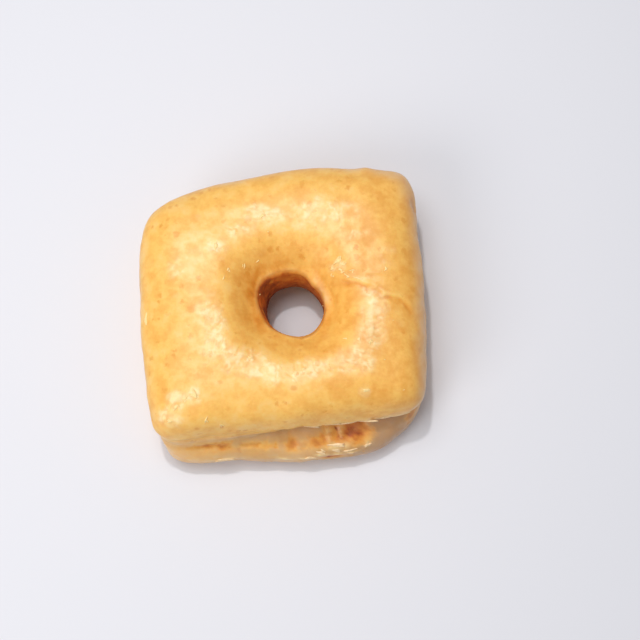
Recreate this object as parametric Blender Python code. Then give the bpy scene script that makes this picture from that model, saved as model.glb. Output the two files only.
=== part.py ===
# A square glazed doughnut with a round hole, as one solid.
#
# The doughnut is a ring of yeast dough that puffed up in the fryer: an upper dome and a lower dome that meet
# at a crease. Seen from above, each dome has its own blunt-cornered outline, because the dough slumped: at the
# near side the lower dome stands out under the upper dome's lip, and at the far side it hides below it.
#
# The frame: metres, +Z up, the near side at -Y. The doughnut rests on Z = 0 and its box is centred on the
# Z axis. The surface is a ring of columns round the hole, each a closed chain of six quarter arcs. A turn is
# the angle round the hole from +X, and a reach is a distance from the hole's axis.

import bpy
import numpy as np
from collections import namedtuple
from math import cos, exp, log, pi, radians, sin

# Side: the heading of its normal, its reach, and how far it bows out (0 is straight).
Side = namedtuple("Side", "heading reach bow")
# Corner: its heading, and how square it is (2 is round, 12 is nearly sharp).
Corner = namedtuple("Corner", "heading squareness")

# Heights
CREST_HEIGHT = 0.033
UPPER_WIDEST = 0.0205
CREASE_HEIGHT = 0.0155
HOLE_NARROWEST = 0.013
LOWER_WIDEST = 0.0065

# The upper dome seen from above: right, far, left and near sides
UPPER_SIDES = (
    Side(radians(2.5), 0.0427, 0.08),
    Side(radians(98.5), 0.0452, 0.19),
    Side(radians(183.5), 0.0496, 0.08),
    Side(radians(277), 0.0384, 0.01),
)
UPPER_CORNERS = (
    Corner(radians(48), 11),
    Corner(radians(140), 9),
    Corner(radians(224), 12),
    Corner(radians(318), 12),
)

# The lower dome seen from above
LOWER_SIDES = (
    Side(radians(4), 0.0436, 0.10),
    Side(radians(93), 0.0425, 0.10),
    Side(radians(182), 0.0476, 0.08),
    Side(radians(274), 0.0486, 0.12),
)
LOWER_CORNERS = (
    Corner(radians(48), 7),
    Corner(radians(140), 6),
    Corner(radians(230), 12),
    Corner(radians(312), 4.5),
)

# The crease: how far it is drawn in behind the smaller dome, which is most at one heading and a share of that
# on average, and how far it wanders up and down
CREASE_DEPTH = 0.002
CREASE_DEEPEST = radians(320)
CREASE_AVERAGE = 0.55
CREASE_WANDER = 0.0008
CREASE_BLEND = 0.0015

# The hole: narrowest at mid-height, flared and uneven at its rim
HOLE_RADIUS = 0.0089
HOLE_FLARE = 0.0017
HOLE_RIM_PULL = 0.0010
HOLE_RIM_OVAL = 0.0006
HOLE_RIM_HEIGHT = 0.025

# The dimple that slopes down to the hole
DIMPLE_DEPTH = 0.006
DIMPLE_WIDTH = 0.008

# How boxy each arc is: 2 is an ellipse, and more is squarer
OUTER_TOP_BOXINESS = 2.5
LIP_BOXINESS = 2.2
SHELF_BOXINESS = 2.0
OUTER_FOOT_BOXINESS = 2.9
INNER_FOOT_BOXINESS = 2.2
INNER_TOP_BOXINESS = 4.4
# The foot's arcs are drawn this much too deep and cut off at Z = 0, which leaves the flat foot
FOOT_OVERDRAW = 1.06

# Lumps of the crust: waves in random directions, from long and high to short and low
LUMP_SEED = 45
LUMP_COUNT = 14
LUMP_LONGEST = 0.045
LUMP_SHORTEST = 0.009
LUMP_HEIGHT = 0.00016

# The faceted surface: columns round the hole, and steps along each arc
COLUMNS = 108
CORNER_CROWDING = 0.08
OUTER_TOP_STEPS = 13
LIP_STEPS = 5
SHELF_STEPS = 9
OUTER_FOOT_STEPS = 6
INNER_FOOT_STEPS = 8
INNER_TOP_STEPS = 13


def ease(low, high, value):
    # 0 below low, 1 above high, and a smooth step between them.
    share = min(max((value - low) / (high - low), 0.0), 1.0)
    return share * share * (3 - 2 * share)


def squareness_towards(turn, corners):
    # Eases from each corner's squareness to the next one's.
    for here, after in zip(corners, corners[1:] + corners[:1]):
        span = (after.heading - here.heading) % (2 * pi)
        past = (turn - here.heading) % (2 * pi)
        if past <= span:
            return here.squareness + (after.squareness - here.squareness) * ease(0, span, past)
    return corners[0].squareness


def outline(turn, sides, corners):
    # The reach of a blunt-cornered outline: a power sum blends the sides that face this way, as in a
    # superellipse.
    power = squareness_towards(turn, corners)
    total = 0.0
    for side in sides:
        offset = turn - side.heading
        if cos(offset) > 0:
            reach = side.reach * (1 - side.bow * sin(offset) ** 2)
            total += (cos(offset) / reach) ** power
    return total ** (-1 / power)


def crease_at(turn, upper, lower):
    # The crease's reach and height. It lies just inside the smaller of the two domes, with a smooth change
    # from one to the other.
    smaller = -CREASE_BLEND * log(exp(-upper / CREASE_BLEND) + exp(-lower / CREASE_BLEND))
    depth = CREASE_DEPTH * (CREASE_AVERAGE + (1 - CREASE_AVERAGE) * cos(turn - CREASE_DEEPEST))
    wander = sin(2 * turn + 1) + 0.5 * sin(5 * turn)
    return smaller - depth, CREASE_HEIGHT + CREASE_WANDER * wander


def hole_radius(turn, height):
    # The hole isn't quite round: it was punched by hand and puffed up unevenly.
    narrowest = HOLE_RADIUS * (1 + 0.03 * cos(2 * turn + 1) + 0.02 * cos(5 * turn))
    pull = HOLE_RIM_PULL * cos(turn - radians(150))
    oval = HOLE_RIM_OVAL * cos(2 * (turn - radians(130)))
    return narrowest + (HOLE_FLARE + pull + oval) * ease(HOLE_NARROWEST, HOLE_RIM_HEIGHT, height)


def arc(centre, half_size, boxiness, first, last, steps):
    # A superellipse from one angle up to, but not including, another. A point is its reach and its height.
    points = []
    for i in range(steps):
        angle = radians(first + (last - first) * i / steps)
        outward, upward = cos(angle), sin(angle)
        size = (abs(outward) ** boxiness + abs(upward) ** boxiness) ** (1 / boxiness)
        points.append((centre[0] + half_size[0] * outward / size, centre[1] + half_size[1] * upward / size))
    return points


def outer_arcs(turn, upper, lower, crest, sole):
    # From the crest out over the upper dome, under its lip to the crease, and over the lower dome to the foot.
    crease, crease_height = crease_at(turn, upper, lower)
    top = (upper - crest, CREST_HEIGHT - UPPER_WIDEST)
    lip = (upper - crease, UPPER_WIDEST - crease_height)
    shelf = (lower - crease, crease_height - LOWER_WIDEST)
    foot = (lower - sole, LOWER_WIDEST * FOOT_OVERDRAW)
    return (
        arc((crest, UPPER_WIDEST), top, OUTER_TOP_BOXINESS, 90, 0, OUTER_TOP_STEPS)
        + arc((crease, UPPER_WIDEST), lip, LIP_BOXINESS, 0, -90, LIP_STEPS)
        + arc((crease, LOWER_WIDEST), shelf, SHELF_BOXINESS, 90, 0, SHELF_STEPS)
        + arc((sole, LOWER_WIDEST), foot, OUTER_FOOT_BOXINESS, 0, -90, OUTER_FOOT_STEPS)
    )


def inner_arcs(turn, hole, crest, sole):
    # From the foot into the hole and up to the crest. The upper arc follows the hole's flare.
    foot = (sole - hole, HOLE_NARROWEST * FOOT_OVERDRAW)
    top = (crest - hole, CREST_HEIGHT - HOLE_NARROWEST)
    points = arc((sole, HOLE_NARROWEST), foot, INNER_FOOT_BOXINESS, -90, -180, INNER_FOOT_STEPS)
    for reach, height in arc((crest, HOLE_NARROWEST), top, INNER_TOP_BOXINESS, 180, 90, INNER_TOP_STEPS):
        inward = (crest - reach) / (crest - hole)
        points.append((crest - inward * (crest - hole_radius(turn, height)), height))
    return points


def column(turn):
    # The vertices of one closed chain of arcs.
    upper = outline(turn, UPPER_SIDES, UPPER_CORNERS)
    lower = outline(turn, LOWER_SIDES, LOWER_CORNERS)
    hole = hole_radius(turn, HOLE_NARROWEST)
    rim = hole_radius(turn, CREST_HEIGHT)
    crest = (upper + rim) / 2
    sole = (lower + hole) / 2
    vertices = []
    arcs = outer_arcs(turn, upper, lower, crest, sole) + inner_arcs(turn, hole, crest, sole)
    for reach, height in arcs:
        height = max(height, 0.0)
        dimple = DIMPLE_DEPTH * exp(-((max(reach - rim, 0) / DIMPLE_WIDTH) ** 2))
        height -= dimple * ease(UPPER_WIDEST, CREST_HEIGHT, height)
        vertices.append((reach * cos(turn), reach * sin(turn), height))
    return vertices


def lump_waves():
    # Each wave has a wavelength, a direction and a phase. The longer it is, the higher.
    rng = np.random.default_rng(LUMP_SEED)
    waves = []
    for i in range(LUMP_COUNT):
        length = LUMP_LONGEST * (LUMP_SHORTEST / LUMP_LONGEST) ** (i / (LUMP_COUNT - 1))
        direction = rng.normal(size=3)
        direction *= 2 * pi / length / np.linalg.norm(direction)
        phase = rng.uniform(0, 2 * pi)
        waves.append((direction, phase, LUMP_HEIGHT * (length / LUMP_LONGEST) ** 0.8))
    return waves


def add_lumps(mesh):
    # Moves each vertex along its normal, less and less towards the foot, which stays flat.
    waves = lump_waves()
    normals = [vertex.normal.copy() for vertex in mesh.vertices]
    for vertex, normal in zip(mesh.vertices, normals):
        point = np.array(vertex.co)
        height = sum(size * sin(direction @ point + phase) for direction, phase, size in waves)
        vertex.co += normal * float(height * ease(0, 0.004, vertex.co.z))


def centre_on_axis(mesh):
    # Puts the middle of the box, seen from above, on the Z axis.
    xs = [vertex.co.x for vertex in mesh.vertices]
    ys = [vertex.co.y for vertex in mesh.vertices]
    middle_x = (min(xs) + max(xs)) / 2
    middle_y = (min(ys) + max(ys)) / 2
    for vertex in mesh.vertices:
        vertex.co.x -= middle_x
        vertex.co.y -= middle_y


def glazed_crust():
    material = bpy.data.materials.new("glazed_crust")
    material.use_nodes = True
    shader = material.node_tree.nodes["Principled BSDF"]
    shader.inputs["Base Color"].default_value = (0.86, 0.47, 0.13, 1)
    shader.inputs["Roughness"].default_value = 0.28
    shader.inputs["Metallic"].default_value = 0
    return material


def make_doughnut():
    # A loft round the hole. No two of its columns have the same section.
    vertices = []
    for i in range(COLUMNS):
        turn = 2 * pi * i / COLUMNS
        turn += CORNER_CROWDING * sin(4 * turn)
        vertices += column(turn)
    rows = len(vertices) // COLUMNS
    faces = []
    for i in range(COLUMNS):
        here = i * rows
        beside = (i + 1) % COLUMNS * rows
        for j in range(rows):
            below = (j + 1) % rows
            faces.append((here + j, here + below, beside + below, beside + j))
    mesh = bpy.data.meshes.new("doughnut")
    mesh.from_pydata(vertices, [], faces)
    mesh.update()
    add_lumps(mesh)
    centre_on_axis(mesh)
    mesh.update()
    mesh.shade_smooth()
    mesh.materials.append(glazed_crust())
    return bpy.data.objects.new("doughnut", mesh)


def main():
    for old in list(bpy.data.objects):
        bpy.data.objects.remove(old)
    parts = bpy.data.collections.new("glazed_doughnut")
    bpy.context.scene.collection.children.link(parts)
    parts.objects.link(make_doughnut())


main()
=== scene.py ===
# A square glazed doughnut: its fried crust, the sugar glaze dried on it, the flakes and drips of that glaze,
# and a plain floor under soft light. Lengths in the dictionaries are millimetres, and places on the doughnut
# are measured from the hole's axis. mm turns them into metres.

import bpy
import math
import numpy as np
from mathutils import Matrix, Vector


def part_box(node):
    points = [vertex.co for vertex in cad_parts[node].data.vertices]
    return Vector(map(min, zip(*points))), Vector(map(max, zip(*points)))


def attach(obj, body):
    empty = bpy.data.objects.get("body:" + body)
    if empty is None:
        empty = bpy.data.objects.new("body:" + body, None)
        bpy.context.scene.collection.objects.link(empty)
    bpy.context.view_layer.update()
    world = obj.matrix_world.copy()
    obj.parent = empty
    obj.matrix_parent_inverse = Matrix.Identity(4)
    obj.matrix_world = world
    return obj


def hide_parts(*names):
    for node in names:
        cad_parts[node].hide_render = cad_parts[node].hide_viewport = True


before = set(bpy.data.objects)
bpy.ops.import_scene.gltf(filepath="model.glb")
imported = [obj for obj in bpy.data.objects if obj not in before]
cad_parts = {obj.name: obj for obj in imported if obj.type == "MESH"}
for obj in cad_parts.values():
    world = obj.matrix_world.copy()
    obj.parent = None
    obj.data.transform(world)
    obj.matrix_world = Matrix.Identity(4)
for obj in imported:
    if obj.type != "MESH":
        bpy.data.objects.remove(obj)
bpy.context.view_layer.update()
mm = 0.001
print("frame loaded")


# small helpers for whole arrays

def ease(low, high, value):
    # 0 below low, 1 above high, and 3s^2 - 2s^3 between them, where s is the share of the way
    share = np.clip((value - low) / (high - low), 0, 1)
    return share * share * (3 - 2 * share)


def bell(value, width):
    # 1 at zero, falling off on both sides as exp(-(value / width)^2)
    return np.exp(-(value / width) ** 2)


def turnFrom(turn, degrees):
    # the angle from a heading, the short way round
    return np.abs((turn - math.radians(degrees) + math.pi) % (2 * math.pi) - math.pi)


def raiseMask(masks, name, value):
    masks[name] = np.maximum(masks[name], value)


def outwards(turn):
    return np.stack([np.cos(turn), np.sin(turn), 0 * turn], axis=-1)


def lattice(points, size, rng):
    # Places in a cubic lattice, the cells they lie in, and a way to get a cell's own number, 0 to 255
    order = rng.permutation(256)
    scaled = points / size + 60.37

    def pick(index):
        first = order[index[..., 2] & 255]
        second = order[(first + index[..., 1]) & 255]
        return order[(second + index[..., 0]) & 255]
    return scaled, np.floor(scaled).astype(int), pick


def hillNoise(points, size, seed):
    # Smooth hills about one size apart, roughly -1 to 1. Each corner of a cubic lattice has a random slope,
    # and the eight slopes round a point are blended by 6s^5 - 15s^4 + 10s^3.
    rng = np.random.default_rng(seed)
    scaled, cell, pick = lattice(points, size, rng)
    slopes = rng.normal(size=(256, 3))
    slopes /= np.linalg.norm(slopes, axis=1, keepdims=True)
    inside = scaled - cell
    blend = inside ** 3 * (inside * (inside * 6 - 15) + 10)
    total = np.zeros(points.shape[:-1])
    for corner in map(np.array, np.ndindex(2, 2, 2)):
        slope = slopes[pick(cell + corner)]
        weight = np.prod(np.where(corner == 1, blend, 1 - blend), axis=-1)
        total += weight * np.sum(slope * (inside - corner), axis=-1)
    return total * 1.7


def cloudNoise(points, size, layers, seed):
    # hillNoise at several sizes, each half the last in size and in height
    total = 0
    for i in range(layers):
        total = total + 0.5 ** i * hillNoise(points, size * 0.5 ** i, seed + i)
    return total / (2 - 0.5 ** (layers - 1))


def plateCells(points, size, seed):
    # Irregular plates: every point belongs to the nearest of many jittered centres. Gives the way from the
    # centre and the plate's own random vector (-1 to 1).
    rng = np.random.default_rng(seed)
    scaled, cell, pick = lattice(points, size, rng)
    jitter = rng.uniform(0.1, 0.9, size=(256, 3))
    own = rng.uniform(-1, 1, size=(256, 3))
    nearest = np.full(points.shape[:-1], 9.0)
    away = np.zeros(points.shape)
    plate = np.zeros(points.shape)
    for step in np.ndindex(3, 3, 3):
        index = cell + np.array(step) - 1
        number = pick(index)
        offset = scaled - index - jitter[number]
        distance = np.linalg.norm(offset, axis=-1)
        closer = distance < nearest
        nearest = np.where(closer, distance, nearest)
        away = np.where(closer[..., None], offset, away)
        plate = np.where(closer[..., None], own[number], plate)
    return away * size, plate


def alongPath(x, y, path):
    # The signed distance from a bent line (positive on its left) and the share of its length passed
    path = np.array(path, float)
    lengths = np.linalg.norm(np.diff(path, axis=0), axis=1)
    passed = np.concatenate([[0], np.cumsum(lengths)])
    best = np.full(x.shape, 1e9)
    signed = np.zeros(x.shape)
    share = np.zeros(x.shape)
    for i, length in enumerate(lengths):
        ahead = (path[i + 1] - path[i]) / length
        dx, dy = x - path[i, 0], y - path[i, 1]
        along = dx * ahead[0] + dy * ahead[1]
        inside = np.clip(along, 0, length)
        distance = np.hypot(dx - inside * ahead[0], dy - inside * ahead[1])
        side = np.where(dy * ahead[0] - dx * ahead[1] >= 0, 1.0, -1.0)
        closer = distance < best
        best = np.where(closer, distance, best)
        signed = np.where(closer, distance * side, signed)
        share = np.where(closer, (passed[i] + along) / passed[-1], share)
    return signed, share


def gridNormals(points):
    # Outward unit normals of a grid that closes on itself both ways: the cross product of its two slopes
    aroundHole = np.roll(points, -1, axis=0) - np.roll(points, 1, axis=0)
    alongSection = np.roll(points, -1, axis=1) - np.roll(points, 1, axis=1)
    normals = np.cross(alongSection, aroundHole)
    return normals / np.maximum(np.linalg.norm(normals, axis=-1, keepdims=True), 1e-12)


# the dough: an upper dome on a lower one, with a crease between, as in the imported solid

dough = {
    "crest": 33, "upperWidest": 20.5, "crease": 15.5, "holeNarrowest": 13, "lowerWidest": 6.5,
    # heading of each side's normal in degrees, its reach, and how far it bows out
    "upperSides": ((2.5, 42.7, 0.08), (98.5, 45.2, 0.19), (183.5, 49.6, 0.08), (277, 38.4, 0.01)),
    "lowerSides": ((4, 43.6, 0.10), (93, 42.5, 0.10), (182, 47.6, 0.08), (274, 48.6, 0.12)),
    # heading of each corner in degrees, and how square it is
    "upperCorners": ((48, 11), (140, 9), (224, 12), (318, 12)),
    "lowerCorners": ((48, 7), (140, 6), (230, 12), (312, 4.5)),
    "creaseDepth": 2, "creaseDeepest": 320, "creaseAverage": 0.55, "creaseWander": 0.8, "creaseBlend": 1.5,
    "hole": 8.9, "holeFlare": 1.7, "rimPull": 1, "rimOval": 0.6, "rimHeight": 25,
    "dimpleDepth": 6, "dimpleWidth": 8,
    # how boxy each arc is: outer top, lip, shelf, outer foot, inner foot, inner top
    "boxiness": (2.5, 2.2, 2.0, 2.9, 2.2, 4.4), "footOverdraw": 1.06,
    "lumpSeed": 45, "lumpCount": 14, "lumpLongest": 45, "lumpShortest": 9, "lumpHeight": 0.16,
    "columns": 480, "rows": 204, "softLimit": 0.15,
}


def squarenessTowards(turn, corners):
    # eases from each corner's squareness to the next one's
    headings = np.radians([heading for heading, square in corners])
    squares = [square for heading, square in corners]
    result = np.zeros(turn.shape)
    for i in range(len(corners)):
        following = (i + 1) % len(corners)
        span = (headings[following] - headings[i]) % (2 * math.pi)
        past = (turn - headings[i]) % (2 * math.pi)
        eased = squares[i] + (squares[following] - squares[i]) * ease(0, span, past)
        result = np.where(past <= span, eased, result)
    return result


def outlineReach(turn, sides, corners):
    # A blunt-cornered outline: the power sum of the sides that face this way, as in a superellipse
    power = squarenessTowards(turn, corners)
    total = np.zeros(turn.shape)
    for heading, reach, bow in sides:
        offset = turn - math.radians(heading)
        bowed = reach * (1 - bow * np.sin(offset) ** 2)
        total += (np.maximum(np.cos(offset), 0) / bowed) ** power
    return total ** (-1 / power)


def holeRadius(turn, height):
    narrowest = dough["hole"] * (1 + 0.03 * np.cos(2 * turn + 1) + 0.02 * np.cos(5 * turn))
    pull = dough["rimPull"] * np.cos(turn - math.radians(150))
    oval = dough["rimOval"] * np.cos(2 * (turn - math.radians(130)))
    flare = ease(dough["holeNarrowest"], dough["rimHeight"], height)
    return narrowest + (dough["holeFlare"] + pull + oval) * flare


def doughSurface(turn, along):
    # The whole skin from two parameters: turn is the angle round the hole, and along counts six quarter
    # superellipses, from the crest over the upper dome, the lip, the lower dome and the foot up the hole.
    arc = np.floor(along).astype(int) % 6
    share = (along - np.floor(along)) * math.pi / 2
    upper = outlineReach(turn, dough["upperSides"], dough["upperCorners"])
    lower = outlineReach(turn, dough["lowerSides"], dough["lowerCorners"])
    blend = dough["creaseBlend"]
    smaller = -blend * np.log(np.exp(-upper / blend) + np.exp(-lower / blend))
    average = dough["creaseAverage"]
    swing = np.cos(turn - math.radians(dough["creaseDeepest"]))
    crease = smaller - dough["creaseDepth"] * (average + (1 - average) * swing)
    creaseHeight = dough["crease"] + dough["creaseWander"] * (np.sin(2 * turn + 1) + 0.5 * np.sin(5 * turn))
    hole = holeRadius(turn, dough["holeNarrowest"])
    rim = holeRadius(turn, dough["crest"])
    crest = (upper + rim) / 2
    sole = (lower + hole) / 2
    over, low = dough["footOverdraw"], dough["lowerWidest"]
    widest, narrow, top = dough["upperWidest"], dough["holeNarrowest"], dough["crest"]
    # each arc: centre reach, centre height, half width, half height, first angle in quarters, its direction
    arcs = (
        (crest, widest, upper - crest, top - widest, 1),
        (crease, widest, upper - crease, widest - creaseHeight, 0),
        (crease, low, lower - crease, creaseHeight - low, 1),
        (sole, low, lower - sole, low * over, 0),
        (sole, narrow, sole - hole, narrow * over, -1),
        (crest, narrow, crest - hole, top - narrow, 2),
    )
    reach = np.zeros(turn.shape)
    height = np.zeros(turn.shape)
    for i, (centreReach, centreHeight, halfWidth, halfHeight, firstQuarter) in enumerate(arcs):
        angle = firstQuarter * math.pi / 2 - share
        outward, upward = np.cos(angle), np.sin(angle)
        boxy = dough["boxiness"][i]
        size = (np.abs(outward) ** boxy + np.abs(upward) ** boxy) ** (1 / boxy)
        reach = np.where(arc == i, centreReach + halfWidth * outward / size, reach)
        height = np.where(arc == i, centreHeight + halfHeight * upward / size, height)
    inward = (crest - reach) / (crest - hole)
    flared = crest - inward * (crest - holeRadius(turn, height))
    reach = np.where(arc == 5, flared, reach)
    height = np.maximum(height, 0)
    dimple = dough["dimpleDepth"] * bell(np.maximum(reach - rim, 0), dough["dimpleWidth"])
    sunk = height - dimple * ease(widest, top, height)
    points = np.stack([reach * np.cos(turn), reach * np.sin(turn), sunk], axis=-1)
    return points, {"arc": arc, "reach": reach, "rim": rim, "upper": upper, "lower": lower}


def lumpHeights(points):
    # A sum of sine waves in random directions: the longer a wave, the higher. None at the flat foot.
    rng = np.random.default_rng(dough["lumpSeed"])
    total = np.zeros(points.shape[:-1])
    longest, count = dough["lumpLongest"], dough["lumpCount"]
    for i in range(count):
        length = longest * (dough["lumpShortest"] / longest) ** (i / (count - 1))
        direction = rng.normal(size=3)
        direction *= 2 * math.pi / length / np.linalg.norm(direction)
        phase = rng.uniform(0, 2 * math.pi)
        total += dough["lumpHeight"] * (length / longest) ** 0.8 * np.sin(points @ direction + phase)
    return total * ease(0, 4, points[..., 2])


def evenRows(count):
    # Rows an equal length apart on the average column, from a fine run over it
    fine = np.linspace(0, 6, 2401)[None, :] + np.zeros((24, 1))
    turns = np.linspace(0, 2 * math.pi, 24, endpoint=False)[:, None] + np.zeros_like(fine)
    points = doughSurface(turns, fine)[0]
    steps = np.linalg.norm(np.diff(points, axis=1), axis=-1).mean(axis=0)
    # the underside needs fewer rows than what shows from above
    middle = (fine[0, 1:] + fine[0, :-1]) / 2
    steps = steps * np.where((middle > 3.4) & (middle < 4.7), 0.45, 1.0)
    passed = np.concatenate([[0], np.cumsum(steps)])
    return np.interp(np.arange(count) / count * passed[-1], passed, fine[0])


# what the glaze and the fryer left on the top: places are (x, y) from the hole's axis

topLook = {
    "pucker": 0.11, "puckerSize": 7.5,
    # patches where the glaze dried thick and whitish, partly a painted highlight of the crest ring and the
    # near left corner: x, y, half width, half depth, strength
    "patches": (
        (-9.7, 27.6, 7, 3.6, 1), (9.9, 29, 10, 4.6, 0.9), (-24.6, 17, 3.8, 3.2, 0.95),
        (-17.8, 22.4, 4.6, 2.6, 0.9), (-36.4, 9.6, 4.8, 4.2, 0.6), (-31, 14.5, 2.6, 2, 0.45),
        (-27.6, 1, 3, 4, 0.45), (-25.4, -7.5, 4.2, 7, 1), (-22.6, -15.6, 5.6, 4.6, 0.9),
        (-14.6, -20.8, 7.6, 4.4, 1), (-2.6, -23.4, 8.4, 3.8, 1.05), (8.6, -21.4, 6.4, 3.8, 0.95),
        (20.6, -19.4, 5.6, 4.8, 0.95), (25.6, -9.6, 4.4, 6.4, 1), (26.6, 0.2, 4.2, 4.4, 0.85),
        (-34.9, -31.6, 4.8, 3, 1.15), (-38.4, -37, 4.4, 3.6, 1.15), (-30, -29.4, 1.6, 3, 1),
        (20.6, 21, 6, 1.6, 0.6), (23.3, -28.7, 2.4, 1.3, 0.8), (29.5, 13, 4, 5, 0.4),
        (14, 11, 3.4, 2.6, 0.7), (21, 8, 4.4, 1.6, 0.5),
    ),
    "plateTilt": 0.025, "plateSize": 3.8,
    "wrinkle": 0.08, "wrinkleSize": 4.6,
    "fold": ((15, 6.3), (17.3, 5.5), (21.1, 4.8), (23.9, 3.9), (26.5, 2.3), (28.7, 0.9), (32.2, 0.2),
             (35, -0.9), (37.6, -3.5)),
    "foldRise": 0.30, "foldDrop": 0.38, "foldShade": 0.20, "valleyShade": 0.10, "faint": 0.22,
    "ridge": ((22.9, 8.2), (25.5, 8.7), (28.1, 8.5), (29, 7.7)), "ridgeRise": 0.18, "ridgeShade": 0.06,
    "farBump": (23.4, 44.6), "farBumpSize": 2.6, "farBumpRise": 0.6,
    # torn spots at the right side: y, z, half width, depth
    "tears": ((33.2, 26.5, 2, 0.5), (31, 25, 1.4, 0.6), (22.9, 23.5, 1.8, 0.8), (19.6, 22, 1, 0.5),
              (3.4, 21, 1.2, 0.5), (-4.9, 22, 1.9, 0.8)),
    "tearBrown": 0.30,
}


def topRelief(skin, masks, look):
    x, y, onTop, warped = skin["x"], skin["y"], skin["onTop"], skin["warped"]
    points = skin["points"]
    height = look["pucker"] * cloudNoise(points, look["puckerSize"], 3, 3) * skin["aboveFoot"]

    # patches of dried sugar, partly painted highlight, with ragged edges, and a few faint ones anywhere
    patchStrength = np.zeros(x.shape)
    for patchX, patchY, halfWidth, halfDepth, strength in look["patches"]:
        dx, dy = warped[..., 0] - patchX, warped[..., 1] - patchY
        patchStrength += strength * np.exp(-((dx / halfWidth) ** 2 + (dy / halfDepth) ** 2) ** 1.3)
    ragged = cloudNoise(points, 3.2, 3, 20)
    cover = patchStrength * (1 + 0.7 * ragged) + 0.3 * ragged * ease(0.05, 0.4, patchStrength)
    sugarAndHighlight = ease(0.05, 1, cover) * onTop
    faint = ease(0.25, 0.8, cloudNoise(warped, 11, 3, 24)) * skin["aboveFoot"]
    sugarAndHighlight = np.clip(sugarAndHighlight + look["faint"] * faint, 0, 1)
    away, plate = plateCells(warped, look["plateSize"], 31)
    height += sugarAndHighlight * look["plateTilt"] * np.sum(away * plate, axis=-1)
    # wrinkles are narrow valleys along the zero lines of a noise, with painted shade in them
    valleys = np.clip(1 - np.abs(cloudNoise(warped, look["wrinkleSize"], 2, 41)) / 0.16, 0, 1)
    height -= look["wrinkle"] * valleys * (0.12 * onTop + sugarAndHighlight)
    masks["browningAndShade"] += look["valleyShade"] * valleys * sugarAndHighlight
    raiseMask(masks, "sugarAndHighlight", sugarAndHighlight * (1 - 0.5 * valleys))

    # the fold and the short ridge at the right of the hole, with painted shade in the fold's valley and
    # beside the ridge, and a painted highlight on the fold's rise
    signed, share = alongPath(x, y, look["fold"])
    ends = ease(-0.05, 0.12, share) * ease(1.06, 0.9, share) * onTop
    ends *= np.clip(0.75 + 0.8 * cloudNoise(points, 3.5, 2, 44), 0.2, 1.3)
    signed = signed + 0.6 * hillNoise(points, 2.6, 45)
    height += ends * look["foldRise"] * bell(signed - 1.3, 1.1)
    height -= ends * look["foldDrop"] * bell(signed + 0.1, 0.7)
    # painted shade in the fold's valley, and a painted highlight (less brown) on its rise
    masks["browningAndShade"] += ends * (look["foldShade"] * bell(signed + 0.2, 0.7) - 0.07 * bell(signed - 1.2, 0.9))
    signed, share = alongPath(x, y, look["ridge"])
    ends = ease(-0.1, 0.2, share) * ease(1.1, 0.8, share) * onTop
    height += ends * look["ridgeRise"] * bell(signed, 0.55)
    # painted shade along the near side of the ridge
    masks["browningAndShade"] += look["ridgeShade"] * ends * bell(signed + 0.9, 0.5)

    bumpX, bumpY = look["farBump"]
    away = np.hypot(x - bumpX, (y - bumpY) * 1.4)
    height += look["farBumpRise"] * bell(away, look["farBumpSize"]) * skin["outside"]
    for tearY, tearZ, halfWidth, depth in look["tears"]:
        ragged = 1 + 0.6 * hillNoise(points, 1, 56)
        round2 = (((y - tearY) / halfWidth) ** 2 + ((skin["z"] - tearZ) / halfWidth) ** 2) * ragged
        tear = np.exp(-round2) * skin["outside"] * (x > 30)
        height -= depth * tear
        masks["browningAndShade"] += look["tearBrown"] * tear
        masks["paleBand"] *= 1 - 0.8 * tear
    return height


# the hole: how the rim's bead, its notch and the streaks of its wall stand out

holeLook = {
    "bead": 0.24, "beadWidth": 0.5,
    # where the rim swells towards the axis or draws back: turn and half width in degrees, rise
    "swells": ((52, 11, 0.7), (28, 10, -0.5), (4, 14, 0.3), (92, 20, -0.5), (152, 22, -0.5), (200, 14, 0.35),
               (300, 25, -0.3)),
    # a pale rolled edge at the right of the rim, its paleness partly painted highlight: turn and half width
    # in degrees, how far out, its rise
    "rolledEdge": (18, 34, 1.3, 0.32),
    "streak": 0.16, "ledge": 0.30, "ledgeHeight": 20.5, "wrinkle": 0.12,
    # how much browner the wall is: everywhere (fried colour and partly painted shade), lower down and at the
    # left (painted shade), and along its streaks
    "wallBrownAndShade": 0.33, "lowerWallShade": 0.15, "leftWallShade": 0.13, "streakBrown": 0.10,
}


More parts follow.
